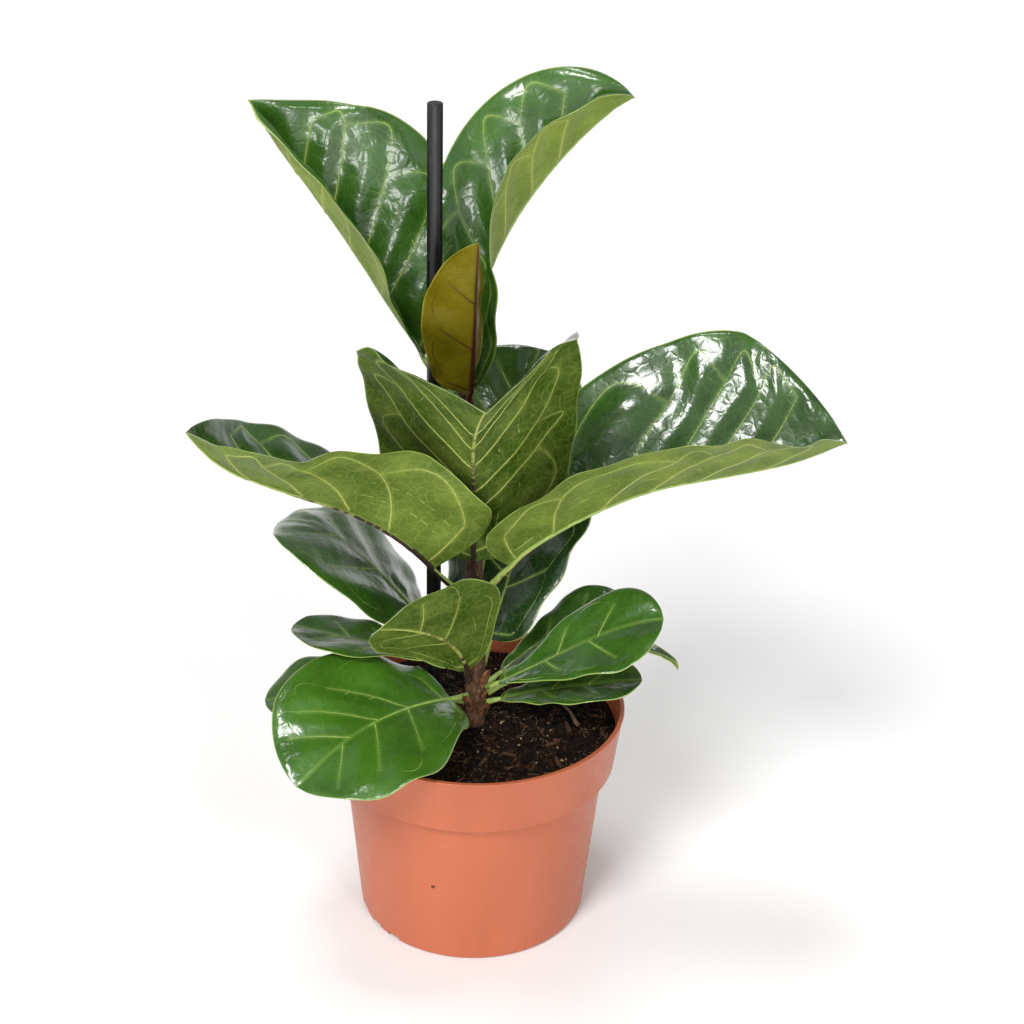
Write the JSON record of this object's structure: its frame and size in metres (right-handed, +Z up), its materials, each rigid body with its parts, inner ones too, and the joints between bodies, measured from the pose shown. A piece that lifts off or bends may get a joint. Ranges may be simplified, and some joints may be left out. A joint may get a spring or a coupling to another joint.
{
  "type": "potted fiddle leaf fig",
  "caption": "Young fiddle leaf fig with broad folded leaves on one stem, in a terracotta-coloured plastic grow pot with soil and a black support stake.",
  "frame": {"origin": "middle of the pot's underside, on the surface that it stands on", "axes": "+Z up along the pot's axis, -Y towards the plant's front, +X to the right seen from the front"},
  "size_m": [0.3419, 0.1951, 0.4888],
  "materials": {
    "pot_plastic": "satin moulded",
    "soil": "loose peat and fibre",
    "stem_bark": "rough bark",
    "stake_plastic": "satin",
    "leaf_green": "waxy gloss above, matte below",
    "leaf_bronze": "satin",
    "dry_sheath": "dry and papery"
  },
  "bodies": {
    "root": {"bud_sheath": "dry_sheath", "leaf_crown_left": "leaf_green", "leaf_crown_right": "leaf_green", "leaf_lower_front": "leaf_green", "leaf_lower_left": "leaf_green", "leaf_lower_left_small": "leaf_green", "leaf_lower_right": "leaf_green", "leaf_lower_right_narrow": "leaf_green", "leaf_lower_right_rear": "leaf_green", "leaf_lower_right_under": "leaf_green", "leaf_middle_back": "leaf_green", "leaf_middle_front": "leaf_green", "leaf_middle_left": "leaf_green", "leaf_upper_back": "leaf_green", "leaf_upper_front": "leaf_green", "leaf_upper_left": "leaf_green", "leaf_upper_right": "leaf_green", "leaf_young_bronze": "leaf_bronze", "pot": "pot_plastic", "soil": "soil", "stem": "stem_bark", "stipule_front": "dry_sheath", "stipule_left": "dry_sheath", "stipule_right": "dry_sheath", "support_stake": "stake_plastic"}
  },
  "joints": []
}
